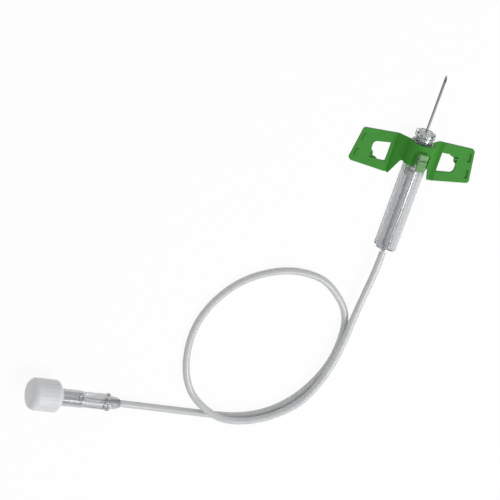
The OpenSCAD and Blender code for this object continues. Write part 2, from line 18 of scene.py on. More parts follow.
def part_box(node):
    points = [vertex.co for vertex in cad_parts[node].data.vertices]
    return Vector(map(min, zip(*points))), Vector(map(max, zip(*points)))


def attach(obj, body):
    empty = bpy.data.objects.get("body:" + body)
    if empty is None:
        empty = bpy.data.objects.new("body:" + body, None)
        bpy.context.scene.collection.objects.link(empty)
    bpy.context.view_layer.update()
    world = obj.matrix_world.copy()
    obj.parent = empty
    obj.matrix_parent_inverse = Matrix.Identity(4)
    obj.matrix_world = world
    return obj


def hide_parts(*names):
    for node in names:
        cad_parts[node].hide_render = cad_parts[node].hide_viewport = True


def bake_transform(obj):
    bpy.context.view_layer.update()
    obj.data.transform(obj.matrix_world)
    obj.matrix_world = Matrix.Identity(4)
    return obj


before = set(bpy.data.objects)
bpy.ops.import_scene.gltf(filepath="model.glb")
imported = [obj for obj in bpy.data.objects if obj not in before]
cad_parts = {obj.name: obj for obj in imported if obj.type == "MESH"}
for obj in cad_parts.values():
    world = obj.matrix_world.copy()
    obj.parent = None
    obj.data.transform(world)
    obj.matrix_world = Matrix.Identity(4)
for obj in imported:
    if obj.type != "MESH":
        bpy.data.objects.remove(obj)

LOG = logging.getLogger("butterfly_needle")
MM = 0.001
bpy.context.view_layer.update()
# A piece that lets this share of the light through, or more, casts no shadow
LETS_LIGHT_IN = 0.9
# Roughness in the smoothest and in the roughest patches, as a share of the mean
SMOOTHEST = 0.85
ROUGHEST = 1.15

Radius = float | Callable[[float], float]
Station = tuple[float, Radius]


@dataclass(frozen=True)
class Datum:
    """Where the needle's axis and the crown's face lie in the part's own frame.

    Attributes:
        face_y: Place of the crown's face along Y, in mm.
        axis_z: Height of the needle's axis, in mm.
        tip: Distance from the crown's face to the needle's tip, in mm.
    """

    face_y: float
    axis_z: float
    tip: float

    @classmethod
    def read(cls) -> "Datum":
        """Takes the datum from the boxes of the sheath and the needle."""
        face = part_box("sheath")[1].y / MM
        low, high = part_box("needle")
        return cls(face_y=face, axis_z=(low.z + high.z) / 2 / MM, tip=high.y / MM - face)

    def from_face(self) -> Matrix:
        """Turns lengths in mm from the crown's face into metres in the part's frame."""
        return Matrix.Scale(MM, 4) @ Matrix.Translation((0, self.face_y, 0))

    def along_axis(self) -> Matrix:
        """Lays a piece that was turned about +Z on the needle's axis, with +Z towards the rear."""
        return self.from_face() @ Matrix.Translation((0, 0, self.axis_z)) @ Matrix.Rotation(
            math.radians(90), 4, "X"
        )


DATUM = Datum.read()


def srgb(colour: str) -> tuple[float, float, float, float]:
    """Turns an sRGB hex colour into the linear colour that shaders take.

    Args:
        colour: Six hex digits.

    Returns:
        Linear red, green and blue, and an alpha of 1.
    """

    def linear(value: int) -> float:
        share = value / 255
        return share / 12.92 if share <= 0.04045 else ((share + 0.055) / 1.055) ** 2.4

    red, green, blue = (linear(int(colour[at : at + 2], 16)) for at in (0, 2, 4))
    return red, green, blue, 1.0


def add_node(
    tree: bpy.types.NodeTree,
    kind: str,
    settings: dict | None = None,
    inputs: dict | None = None,
) -> bpy.types.Node:
    """Adds a node, sets it up and links it.

    Args:
        tree: Tree that the node goes into.
        kind: Type of the node.
        settings: Property names and their values.
        inputs: Socket names or numbers, and a value or another node's output socket for each.

    Returns:
        The new node.
    """
    node = tree.nodes.new(kind)
    for name, value in (settings or {}).items():
        setattr(node, name, value)
    for name, value in (inputs or {}).items():
        if isinstance(value, bpy.types.NodeSocket):
            tree.links.new(value, node.inputs[name])
        else:
            node.inputs[name].default_value = value
    return node


class Grain(Enum):
    """How a moulded surface catches the light."""

    SATIN = "satin"
    CLEAR = "clear"
    METAL = "metal"


@dataclass(frozen=True)
class Finish:
    """A moulded, extruded or drawn material.

    Attributes:
        name: Name of the material.
        slot: The record's material slot; not used.
        colour: sRGB hex colour.
        shade: sRGB hex colour in the cloudier patches.
        grain: Kind of surface.
        roughness: Mean roughness.
        ior: Index of refraction.
        clear: Share of the light that goes through, from 0 to 1.
        shine: Strength of the surface's reflection, 0.5 for what its index of refraction gives.
        glow: Share of the light that scatters under the surface.
        depth: How far that light travels, in mm.
        reach: Share of that depth which red, green and blue light travels.
        cloud_mm: Size of the cloudy patches, in mm.
        bump_mm: Depth of the surface texture, in mm.
        grain_mm: Size of the surface texture, in mm.
    """

    name: str
    slot: str
    colour: str
    shade: str
    grain: Grain
    roughness: float
    ior: float = 1.5
    clear: float = 0.0
    shine: float = 0.5
    glow: float = 0.0
    depth: float = 0.5
    reach: tuple[float, float, float] = (1.0, 1.0, 1.0)
    cloud_mm: float = 3.0
    bump_mm: float = 0.004
    grain_mm: float = 0.35

    def make(self) -> bpy.types.Material:
        """Builds the material, once for each name.

        Returns:
            The material.
        """
        if self.name in bpy.data.materials:
            return bpy.data.materials[self.name]
        material = bpy.data.materials.new(self.name)
        material.use_nodes = True
        tree = material.node_tree
        tree.nodes.clear()
        place = add_node(tree, "ShaderNodeTexCoord").outputs["Object"]
        cloud = add_node(
            tree,
            "ShaderNodeTexNoise",
            inputs={"Vector": place, "Scale": 1 / (self.cloud_mm * MM), "Detail": 3.0},
        )
        tone = add_node(
            tree,
            "ShaderNodeMix",
            {"data_type": "RGBA"},
            {0: cloud.outputs["Fac"], 6: srgb(self.colour), 7: srgb(self.shade)},
        )
        grain = add_node(
            tree,
            "ShaderNodeTexNoise",
            inputs={"Vector": place, "Scale": 1 / (self.grain_mm * MM), "Detail": 2.0},
        )
        bump = add_node(
            tree,
            "ShaderNodeBump",
            inputs={"Strength": 0.5, "Distance": self.bump_mm * MM, "Height": grain.outputs["Fac"]},
        )
        rough = add_node(
            tree,
            "ShaderNodeMapRange",
            inputs={
                "Value": cloud.outputs["Fac"],
                "To Min": self.roughness * SMOOTHEST,
                "To Max": self.roughness * ROUGHEST,
            },
        )
        shader = add_node(
            tree,
            "ShaderNodeBsdfPrincipled",
            inputs={
                "Base Color": tone.outputs[2],
                "Roughness": rough.outputs["Result"],
                "Normal": bump.outputs["Normal"],
                "Metallic": 1.0 if self.grain is Grain.METAL else 0.0,
                "IOR": self.ior,
                "Specular IOR Level": self.shine,
            },
        )
        if self.clear:
            shader.inputs["Transmission Weight"].default_value = self.clear
        if self.glow:
            shader.inputs["Subsurface Weight"].default_value = self.glow
            shader.inputs["Subsurface Scale"].default_value = self.depth * MM
            shader.inputs["Subsurface Radius"].default_value = self.reach
        add_node(tree, "ShaderNodeOutputMaterial", inputs={"Surface": shader.outputs["BSDF"]})
        return material


# Green plastic lets green light through furthest
GREEN_REACH = (0.6, 1.0, 0.4)

# Low-density polyethylene, injection moulded: waxy, with a soft edge to every highlight
WING_GREEN = Finish(
    "green_polyethylene", "green_plastic", "3F8F33", "39892D", Grain.SATIN, 0.5, shine=0.12,
    glow=0.08, reach=GREEN_REACH,
)
# The same plastic as the wings in the thin button; its paler colour is painted light, for the light that the
# thin plastic lets through and that falls on its top
PAINTED_LIGHT_GREEN = Finish(
    "polyethylene_painted_light", "light_green_plastic", "7BAA71", "73A269", Grain.SATIN, 0.45, shine=0.2,
    glow=0.15, reach=GREEN_REACH,
)
# Clear styrene copolymer, moulded: its thick wall bends the light into bright and dark bands
SHEATH_CLEAR = Finish(
    "moulded_styrene", "clear_plastic", "D4D6D8", "CED0D2", Grain.CLEAR, 0.06, ior=1.56, clear=0.96
)
# Acrylic of the luer connector, clearer and glossier than the sheath
CONNECTOR_CLEAR = Finish(
    "moulded_acrylic", "clear_plastic", "C8C9CB", "C2C3C5", Grain.CLEAR, 0.12, ior=1.49, clear=0.96,
    shine=0.35, bump_mm=0.001,
)
# Natural polypropylene of the hub, milky
HUB_MILKY = Finish(
    "natural_polypropylene", "frosted_plastic", "CFD2D0", "C6CAC7", Grain.SATIN, 0.35, glow=0.2
)
# Natural polyethylene of the cap: white and cloudy, it glows where it is thin
CAP_MILKY = Finish(
    "natural_polyethylene", "cap_plastic", "DDDEE0", "D7D8DA", Grain.SATIN, 0.4, glow=0.6, depth=1.6
)
# Soft vinyl tube, extruded: hazy, it scatters light under its surface
TUBE_VINYL = Finish(
    "extruded_vinyl", "soft_tube", "C8CACB", "C2C4C5", Grain.CLEAR, 0.25, ior=1.53, glow=0.5, depth=1.2,
    bump_mm=0.001,
)
# Drawn and polished stainless steel of the cannula
STEEL = Finish("drawn_stainless_steel", "needle_steel", "7E7F84", "76777C", Grain.METAL, 0.3, bump_mm=0.001)
# Cured clear adhesive, glossy
ADHESIVE = Finish("cured_adhesive", "adhesive", "E8E8E6", "E0E0DE", Grain.CLEAR, 0.12, clear=0.4)


def dress(piece: bpy.types.Object, finish: Finish, body: str, replaced: str) -> bpy.types.Object:
    """Gives a piece its material and its body, and lets it stand for its solid.

    Args:
        piece: Finished piece, in metres in the part's frame.
        finish: Its finish.
        body: Body that it rides on.
        replaced: Solid that it stands for.

    Returns:
        The piece.
    """
    piece.data.materials.clear()
    piece.data.materials.append(finish.make())
    # Clear walls cast no shadow, so that the lamps reach what they hold
    piece.visible_shadow = finish.clear < LETS_LIGHT_IN
    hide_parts(replaced)
    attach(piece, body)
    LOG.info("%s rides on %s in %s", piece.name, body, finish.name)
    return piece


def to_object(name: str, mesh: bmesh.types.BMesh, placing: Matrix, crease: float) -> bpy.types.Object:
    """Turns a mesh into an object whose place is in its mesh.

    Args:
        name: Name of the object.
        mesh: Mesh in mm, which this frees.
        placing: Turns the mesh's own lengths into metres in the part's frame.
        crease: Angle in degrees past which an edge is shaded sharp.

    Returns:
        The object, at the origin.
    """
    mesh.transform(placing)
    data = bpy.data.meshes.new(name)
    mesh.to_mesh(data)
    mesh.free()
    data.shade_smooth()
    data.set_sharp_from_angle(angle=math.radians(crease))
    piece = bpy.data.objects.new(name, data)
    bpy.context.scene.collection.objects.link(piece)
    return piece


def turned(
    name: str, stations: Sequence[Station], segments: int, placing: Matrix, crease: float = 35
) -> bpy.types.Object:
    """Makes a closed shell round an axis from rings whose radius may change with the angle.

    Args:
        name: Name of the object.
        stations: Distance along +Z and radius of each ring in mm, round the wall. A shell that
            begins and ends on the axis has a radius of 0 at both ends, and any other is a tube wall.
        segments: Points in a ring.
        placing: Turns the mesh's own lengths into metres in the part's frame.
        crease: Angle in degrees past which an edge is shaded sharp.

    Returns:
        The object.
    """
    mesh = bmesh.new()
    rings = []
    for along, radius in stations:
        if radius == 0:
            rings.append([mesh.verts.new((0, 0, along))])
            continue
        ring = []
        for step in range(segments):
            angle = 2 * math.pi * step / segments
            reach = radius(angle) if callable(radius) else radius
            ring.append(mesh.verts.new((reach * math.cos(angle), reach * math.sin(angle), along)))
        rings.append(ring)
    pairs = list(zip(rings, rings[1:]))
    if len(rings[0]) > 1:
        pairs.append((rings[-1], rings[0]))
    for first, second in pairs:
        for step in range(segments):
            after = (step + 1) % segments
            corners = [first[step % len(first)], first[after % len(first)]]
            corners += [second[after % len(second)], second[step % len(second)]]
            kept = [corner for at, corner in enumerate(corners) if corner not in corners[:at]]
            mesh.faces.new(kept)
    bmesh.ops.recalc_face_normals(mesh, faces=mesh.faces)
    return to_object(name, mesh, placing, crease)


def softened(name: str, node: str, edge: float, flat: float = 1.0, keep: float = 30.0) -> bpy.types.Object:
    """Copies a solid and rounds its edges, as a mould does.

    Args:
        name: Name of the new object.
        node: Solid to copy.
        edge: Radius of the edges, in mm.
        flat: Angle in degrees below which neighbouring faces are one face.
        keep: Angle in degrees past which an edge is rounded.

    Returns:
        The object.
    """
    mesh = bmesh.new()
    mesh.from_mesh(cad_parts[node].data)
    mesh.transform(Matrix.Scale(1 / MM, 4))
    bmesh.ops.remove_doubles(mesh, verts=mesh.verts, dist=0.001)
    bmesh.ops.dissolve_limit(
        mesh, angle_limit=math.radians(flat), verts=mesh.verts, edges=mesh.edges, delimit={"NORMAL"}
    )
    data = bpy.data.meshes.new(name)
    mesh.to_mesh(data)
    mesh.free()
    data.shade_smooth()
    rough = bpy.data.objects.new(name, data)
    bpy.context.scene.collection.objects.link(rough)
    bevel = rough.modifiers.new("edges", "BEVEL")
    bevel.width = edge
    bevel.segments = 2
    bevel.limit_method = "ANGLE"
    bevel.angle_limit = math.radians(keep)
    bevel.miter_outer = "MITER_ARC"
    bevel.use_clamp_overlap = True
    bevel.harden_normals = False
    weighted = rough.modifiers.new("flat_faces", "WEIGHTED_NORMAL")
    weighted.keep_sharp = True
    weighted.weight = 90
    bpy.context.view_layer.update()
    evaluated = rough.evaluated_get(bpy.context.evaluated_depsgraph_get())
    shape = bpy.data.meshes.new_from_object(evaluated)
    bpy.data.objects.remove(rough)
    shape.transform(Matrix.Scale(MM, 4))
    shape.name = name
    piece = bpy.data.objects.new(name, shape)
    bpy.context.scene.collection.objects.link(piece)
    return piece


@dataclass
class View:
    """The photograph's camera.

    Attributes:
        target: Point on the view axis, in mm in the part's frame.
        distance: Distance from the target, in mm.
        azimuth: Degrees from looking along +Y.
        elevation: Degrees above the table.
        roll: Degrees that the picture is turned by.
        lens: Focal length for a 36 mm sensor.
    """

    target: tuple[float, float, float] = (-41.8, -36.4, 5.9)
    distance: float = 800.0
    azimuth: float = 219.38
    elevation: float = 59.49
    roll: float = -204.7
    lens: float = 193.1

    def build(self) -> None:
        """Makes the camera and looks through it."""
        turn, lift, roll = (math.radians(angle) for angle in (self.azimuth, self.elevation, self.roll))
        back = Vector((math.sin(turn) * math.cos(lift), -math.cos(turn) * math.cos(lift), math.sin(lift)))
        level = Vector((math.cos(turn), math.sin(turn), 0))
        upright = back.cross(level)
        right = math.cos(roll) * level + math.sin(roll) * upright
        up = back.cross(right)
        data = bpy.data.cameras.new("camera")
        data.lens = self.lens
        data.sensor_width = 36.0
        data.clip_start = 0.01
        camera = bpy.data.objects.new("camera", data)
        camera.matrix_world = Matrix.Translation(
            (Vector(self.target) + self.distance * back) * MM
        ) @ Matrix((right, up, back)).transposed().to_4x4()
        bpy.context.scene.collection.objects.link(camera)
        bpy.context.scene.camera = camera


@dataclass
class Studio:
    """White table, white surroundings and soft lamps.

    Attributes:
        key_from: Direction that the main light comes from.
        key_distance: How far the main lamp stands from the part, in metres.
        key_power: Power of the main lamp, in watts.
        key_size: Width of the main lamp's face, in metres.
        fill_at: Place of the lamp on the other side, in metres.
        fill_power: Its power, in watts.
        fill_size: Width of its face, in metres.
        around: Strength of the surroundings on the object.
        table_size: Width of the table, in metres.
        table_share: Share of plain white in what the camera sees of the table.
        through_share: The same share where it is seen through a clear piece.
    """

    key_from: tuple[float, float, float] = (0.55, -0.45, 0.95)
    key_distance: float = 0.6
    key_power: float = 1.8
    key_size: float = 0.25
    fill_at: tuple[float, float, float] = (-0.4, 0.35, 0.5)
    fill_power: float = 0.2
    fill_size: float = 0.5
    around: float = 0.56
    table_size: float = 3.0
    table_share: float = 0.93
    through_share: float = 0.8

    def lamp(self, name: str, place: Vector, power: float, size: float) -> None:
        """Adds a soft lamp that points at the middle of the part.

        Args:
            name: Name of the lamp.
            place: Where it stands, in metres.
            power: Its power in watts.
            size: Width of its face, in metres.
        """
        data = bpy.data.lights.new(name, "AREA")
        data.energy = power
        data.size = size
        lamp = bpy.data.objects.new(name, data)
        lamp.matrix_world = Matrix.Translation(place) @ place.to_track_quat("Z", "Y").to_matrix().to_4x4()
        bpy.context.scene.collection.objects.link(lamp)

    def seen_white(self, tree: bpy.types.NodeTree) -> bpy.types.NodeSocket:
        """Gives 1 where the camera, a gloss or a clear piece looks at the surroundings.

        Args:
            tree: Tree that the nodes go into.

        Returns:
            The socket that holds the share.
        """
        path = add_node(tree, "ShaderNodeLightPath")
        gloss = add_node(
            tree,
            "ShaderNodeMath",
            {"operation": "MAXIMUM"},
            {0: path.outputs["Is Camera Ray"], 1: path.outputs["Is Glossy Ray"]},
        )
        clear = add_node(
            tree,
            "ShaderNodeMath",
            {"operation": "MAXIMUM"},
            {0: gloss.outputs[0], 1: path.outputs["Is Transmission Ray"]},
        )
        return clear.outputs[0]

    def surroundings(self) -> None:
        """Makes a world that looks white and lights the part at a plain level."""
        world = bpy.data.worlds.new("surroundings")
        bpy.context.scene.world = world
        world.use_nodes = True
        tree = world.node_tree
        tree.nodes.clear()
        seen = self.seen_white(tree)
        strength = add_node(
            tree,
            "ShaderNodeMapRange",
            inputs={"Value": seen, "To Min": self.around, "To Max": 1.0},
        )
        white = add_node(
            tree,
            "ShaderNodeBackground",
            inputs={"Color": (1, 1, 1, 1), "Strength": strength.outputs["Result"]},
        )
        add_node(tree, "ShaderNodeOutputWorld", inputs={"Surface": white.outputs["Background"]})

    def table(self) -> None:
        """Makes the white table, which shows as white and still takes a faint shadow."""
        mesh = bmesh.new()
        bmesh.ops.create_grid(mesh, x_segments=1, y_segments=1, size=self.table_size / 2)
        table = to_object("table", mesh, Matrix.Identity(4), 30)
        material = bpy.data.materials.new("white_table")
        material.use_nodes = True
        tree = material.node_tree
        tree.nodes.clear()
        matt = add_node(
            tree, "ShaderNodeBsdfPrincipled", inputs={"Base Color": srgb("F4F4F4"), "Roughness": 0.9}
        )
        white = add_node(tree, "ShaderNodeEmission", inputs={"Color": (1, 1, 1, 1), "Strength": 1.0})
        path = add_node(tree, "ShaderNodeLightPath")
        through = add_node(
            tree,
            "ShaderNodeMapRange",
            inputs={
                "Value": path.outputs["Is Transmission Ray"],
                "To Min": self.table_share, "To Max": self.through_share,
            },
        )
        share = add_node(
            tree,
            "ShaderNodeMath",
            {"operation": "MULTIPLY"},
            {0: self.seen_white(tree), 1: through.outputs["Result"]},
        )
        mix = add_node(
            tree,
            "ShaderNodeMixShader",
            inputs={0: share.outputs[0], 1: matt.outputs["BSDF"], 2: white.outputs["Emission"]},
        )
        add_node(tree, "ShaderNodeOutputMaterial", inputs={"Surface": mix.outputs["Shader"]})
        table.data.materials.append(material)

    def build(self) -> None:
        """Sets up the table, the world, the lamps and the view transform."""
        bpy.context.scene.view_settings.view_transform = "Standard"
        self.surroundings()
        self.table()
        key_at = Vector(self.key_from).normalized() * self.key_distance
        self.lamp("key", key_at, self.key_power, self.key_size)
        self.lamp("fill", Vector(self.fill_at), self.fill_power, self.fill_size)


@dataclass
class Tube:
    """Soft tube from the hub's socket, through its own loop, to the connector.

    Attributes:
        diameter: Outside diameter.
        bore: Inside diameter.
        leaves_at: Where the tube leaves the hub, from the crown's face; not used.
        sides: Faces round the tube.
        per_span: Rings between two points of the route.
        tail: Where the tube leaves the sheath's boss and begins to rise.
        lie: Height of its centre where it lies on the table.
        over: Height of its centre where it lies on its other pass.
        entry: Where its centre enters the connector.
        end: Where it ends inside the connector.
    """

    diameter: float = 2.2
    bore: float = 1.1
    leaves_at: float = -14.0
    sides: int = 24
    per_span: int = 8
    tail: float = -40.5
    lie: float = 1.1
    over: float = 3.4
    entry: Vector = field(default_factory=lambda: Connector().point(0))
    end: Vector = field(default_factory=lambda: Connector().point(Connector.tube_in))

    def route(self) -> list[tuple[float, float, float]]:
        """Lists the points of the route, in mm from the crown's face."""
        lie, over, axis = self.lie, self.over, DATUM.axis_z
        return [
            (0, -8.2, axis), (0, -20, axis), (0, -31, axis), (0, self.tail, axis),
            (-0.2, -48, over), (-0.9, -56, over), (-1.5, -64, over), (-1.9, -72, over),
            (-2.8, -80, over), (-5, -88.5, over), (-9, -96.3, over), (-15.5, -102, over),
            (-23, -105.5, over), (-31, -106.4, over), (-37.5, -104.4, 2.5), (-43.2, -100, 1.4),
            (-47, -93, lie), (-48.8, -84, lie), (-48.2, -75.5, lie), (-45, -67.5, lie),
            (-39.5, -60.5, lie), (-32, -55.7, lie), (-23.5, -53.5, lie), (-14.5, -54.7, lie),
            (-7.5, -59.7, lie), (-3.6, -65.3, lie), (-2.3, -72, lie), (-2.8, -80.5, lie),
            (-5.6, -88.7, lie), (-10.6, -96.5, lie), (-17.5, -102.3, lie), (-25.5, -105.5, lie),
            (-34, -106.6, lie), (-43, -107.1, lie), (-51, -107.4, 1.25), (-58.5, -107.5, 1.65),
        ]

    def path(self) -> list[Vector]:
        """Runs a smooth curve through the route and on into the connector.

        Returns:
            Points along the tube's centreline, in mm from the crown's face.
        """
        points = [Vector(point) for point in self.route()]
        line = []
        for at in range(len(points) - 1):
            before, start, stop = points[max(at - 1, 0)], points[at], points[at + 1]
            after = points[min(at + 2, len(points) - 1)]
            for step in range(self.per_span):
                t = step / self.per_span
                line.append(0.5 * (
                    2 * start + (stop - before) * t
                    + (2 * before - 5 * start + 4 * stop - after) * t**2
                    + (3 * start - before - 3 * stop + after) * t**3
                ))
        return line + [points[-1], self.entry, self.end]

    def tree(self) -> bpy.types.NodeTree:
        """Builds the node tree that sweeps the tube's wall along the path."""
        tree = bpy.data.node_groups.new("tube_wall", "GeometryNodeTree")
        for name, kind in (
            ("Geometry", "NodeSocketGeometry"), ("Outer radius", "NodeSocketFloat"),
            ("Bore radius", "NodeSocketFloat"), ("Sides", "NodeSocketInt"),
            ("Material", "NodeSocketMaterial"),
        ):
            tree.interface.new_socket(name, in_out="INPUT", socket_type=kind)
        tree.interface.new_socket("Geometry", in_out="OUTPUT", socket_type="NodeSocketGeometry")
        given = add_node(tree, "NodeGroupInput").outputs
        centre = add_node(tree, "GeometryNodeMeshToCurve", inputs={"Mesh": given["Geometry"]})
        skins = []
        for radius, inside in (("Outer radius", False), ("Bore radius", True)):
            round_line = add_node(
                tree,
                "GeometryNodeCurvePrimitiveCircle",
                inputs={"Resolution": given["Sides"], "Radius": given[radius]},
            )
            skin = add_node(
                tree,
                "GeometryNodeCurveToMesh",
                inputs={
                    "Curve": centre.outputs[0], "Profile Curve": round_line.outputs[0], "Fill Caps": False,
                },
            )
            if inside:
                skin = add_node(tree, "GeometryNodeFlipFaces", inputs={0: skin.outputs[0]})
            skins.append(skin.outputs[0])
        both = add_node(tree, "GeometryNodeJoinGeometry")
        for skin_out in skins:
            tree.links.new(skin_out, both.inputs[0])
        smooth = add_node(tree, "GeometryNodeSetShadeSmooth", inputs={0: both.outputs[0]})
        real = add_node(tree, "GeometryNodeRealizeInstances", inputs={0: smooth.outputs[0]})
        dressed = add_node(
            tree,
            "GeometryNodeSetMaterial",
            inputs={"Geometry": real.outputs[0], "Material": given["Material"]},
        )
        add_node(tree, "NodeGroupOutput", inputs={0: dressed.outputs[0]})
        return tree

    def build(self, with_pieces: Sequence[bpy.types.Object]) -> bpy.types.Object:
        """Args:
            with_pieces: Connector and cap, which are on the tube; not used.

        Returns:
            The tube.
        """
        path = self.path()
        mesh = bmesh.new()
        spots = [mesh.verts.new(point) for point in path]
        for first, second in zip(spots, spots[1:]):
            mesh.edges.new((first, second))
        line = to_object("tube_path", mesh, Matrix.Identity(4), 30)
        sweep = line.modifiers.new("wall", "NODES")
        sweep.node_group = self.tree()
        chosen = {
            "Outer radius": self.diameter / 2, "Bore radius": self.bore / 2, "Sides": self.sides,
            "Material": TUBE_VINYL.make(),
        }
        for item in sweep.node_group.interface.items_tree:
            if item.name in chosen and item.in_out == "INPUT":
                sweep[item.identifier] = chosen[item.name]
        bpy.context.view_layer.update()
        swept = line.evaluated_get(bpy.context.evaluated_depsgraph_get())
        wall = bmesh.new()
        wall.from_mesh(bpy.data.meshes.new_from_object(swept))
        bpy.data.objects.remove(line)
        rims = [edge for edge in wall.edges if edge.is_boundary]
        self.close_ends(wall, rims)
        tube = to_object("soft_tube", wall, DATUM.from_face(), 60)
        dress(tube, TUBE_VINYL, "needle_carrier", "tube")
        placing = DATUM.from_face()
        return tube

    def close_ends(self, wall: bmesh.types.BMesh, rims: Sequence[bmesh.types.BMEdge]) -> None:
        """Closes the wall between bore and skin at both ends of the tube.

        Args:
            wall: Skin and bore.
            rims: Their open edges.
        """
        middle = (self.path()[0] + self.path()[-1]) / 2
        front = [edge for edge in rims if edge.verts[0].co.y > middle.y]
        rear = [edge for edge in rims if edge.verts[0].co.y <= middle.y]
        for ring in (front, rear):
            bmesh.ops.bridge_loops(wall, edges=ring)
        bmesh.ops.recalc_face_normals(wall, faces=wall.faces)


@dataclass
class Connector:
    """Luer connector: cone, collar, ribbed body and plain barrel.

    Attributes:
        at: Small end of the cone on its axis, from the crown's face, without its height.
        yaw: Direction of the axis in plan, in degrees.
        show: Length that is in view in front of the cap.
        in_cap: Length of barrel inside the cap.
        tube_in: How deep the tube goes in.
        chamber_back: Distance from the barrel's front to the chamber behind the luer socket.
        rim_chamfer: Chamfer on the cap's rim, which the connector leans on.
    """

    at: tuple[float, float] = (-64.6, -107.5)
    yaw: float = 179.0
    show: float = 19.8
    in_cap: float = 7.0
    cone_len: float = 3.6
    cone_d: float = 2.7
    nose_len: float = 1.7
    nose_top_d: float = 3.8
    collar_w: float = 0.8
    collar_d: float = 5.5
    body_len: float = 8.0
    body_d: float = 5.0
    barrel_d: float = 5.3
    rib_w: float = 0.9
    rib_depth: float = 0.4
    ribs: int = 8
    tube_in: float = 5.0
    tube_hole_d: float = 2.24
    channel_d: float = 1.4
    chamber_back: float = 0.4
    luer_mouth_d: float = 4.3
    luer_root_d: float = 3.9
    luer_depth: float = 7.5
    cap_d: float = 10.0
    rim_chamfer: float = 1.3
    edge: float = 0.12
    segments: int = 160

    @property
    def pitch(self) -> float:
        """Angle in radians at which the connector leans on its collar and the cap's rim."""
        return math.asin((self.cap_d - self.collar_d) / 2 / (self.show + self.rim_chamfer - self.cone_len))

    def placing(self) -> Matrix:
        """Lays a piece that was turned about +Z on the connector's axis."""
        height = self.collar_d / 2 * math.cos(self.pitch) - self.cone_len * math.sin(self.pitch)
        return (
            DATUM.from_face()
            @ Matrix.Translation((*self.at, height))
            @ Matrix.Rotation(math.radians(self.yaw), 4, "Z")
            @ Matrix.Rotation(math.pi / 2 - self.pitch, 4, "Y")
        )

    def point(self, along: float) -> Vector:
        """Finds a point on the axis, in mm from the crown's face."""
        return DATUM.from_face().inverted() @ self.placing() @ Vector((0, 0, along))

    def ribbed(self, angle: float) -> float:
        """Gives the radius of the ribbed body at an angle."""
        pitch = 2 * math.pi / self.ribs
        off = abs((angle + pitch / 2) % pitch - pitch / 2)
        root = self.body_d / 2 - self.rib_depth
        half = math.asin(self.rib_w / 2 / root)
        rise = min(max((half * 1.35 - off) / (half * 0.5), 0), 1)
        return root + self.rib_depth * rise * rise * (3 - 2 * rise)

    def build(self) -> bpy.types.Object:
        """Turns the connector and dresses it."""
        body = self.cone_len + self.collar_w
        barrel = body + self.body_len
        mouth = self.show + self.in_cap
        edge, root = self.edge, self.body_d / 2 - self.rib_depth
        socket = mouth - self.luer_depth
        small, wide = self.cone_d / 2, self.nose_top_d / 2
        stations: list[Station] = [
            (0, small - edge), (0.25 * edge, small - 0.3 * edge), (edge, small),
            (self.nose_len * 0.35, small + (wide - small) * 0.47),
            (self.nose_len * 0.7, small + (wide - small) * 0.81), (self.nose_len, wide),
            (self.nose_len * 1.4, wide + (root - wide) * 0.5), (self.cone_len - edge, root),
            (self.cone_len, root + edge / 2),
            (self.cone_len, self.collar_d / 2 - edge), (self.cone_len + edge, self.collar_d / 2),
            (body - edge, self.collar_d / 2), (body, self.collar_d / 2 - edge),
            (body, root + edge), (body + edge, root), (body + 2 * edge, root), (body + 4 * edge, self.ribbed),
            (barrel - 2 * edge, self.ribbed), (barrel, self.ribbed), (barrel, self.barrel_d / 2 - edge),
            (barrel + edge, self.barrel_d / 2), (mouth - edge, self.barrel_d / 2),
            (mouth, self.barrel_d / 2 - edge), (mouth, self.luer_mouth_d / 2 + edge / 2),
            (mouth - edge / 2, self.luer_mouth_d / 2), (socket, self.luer_root_d / 2),
            (barrel + self.chamber_back, self.luer_root_d / 2),
            (barrel + self.chamber_back, self.channel_d / 2), (self.tube_in, self.channel_d / 2),
            (self.tube_in, self.tube_hole_d / 2), (0, self.tube_hole_d / 2),
        ]
        piece = turned("luer_connector", stations, self.segments, self.placing())
        return dress(piece, CONNECTOR_CLEAR, "needle_carrier", "connector")


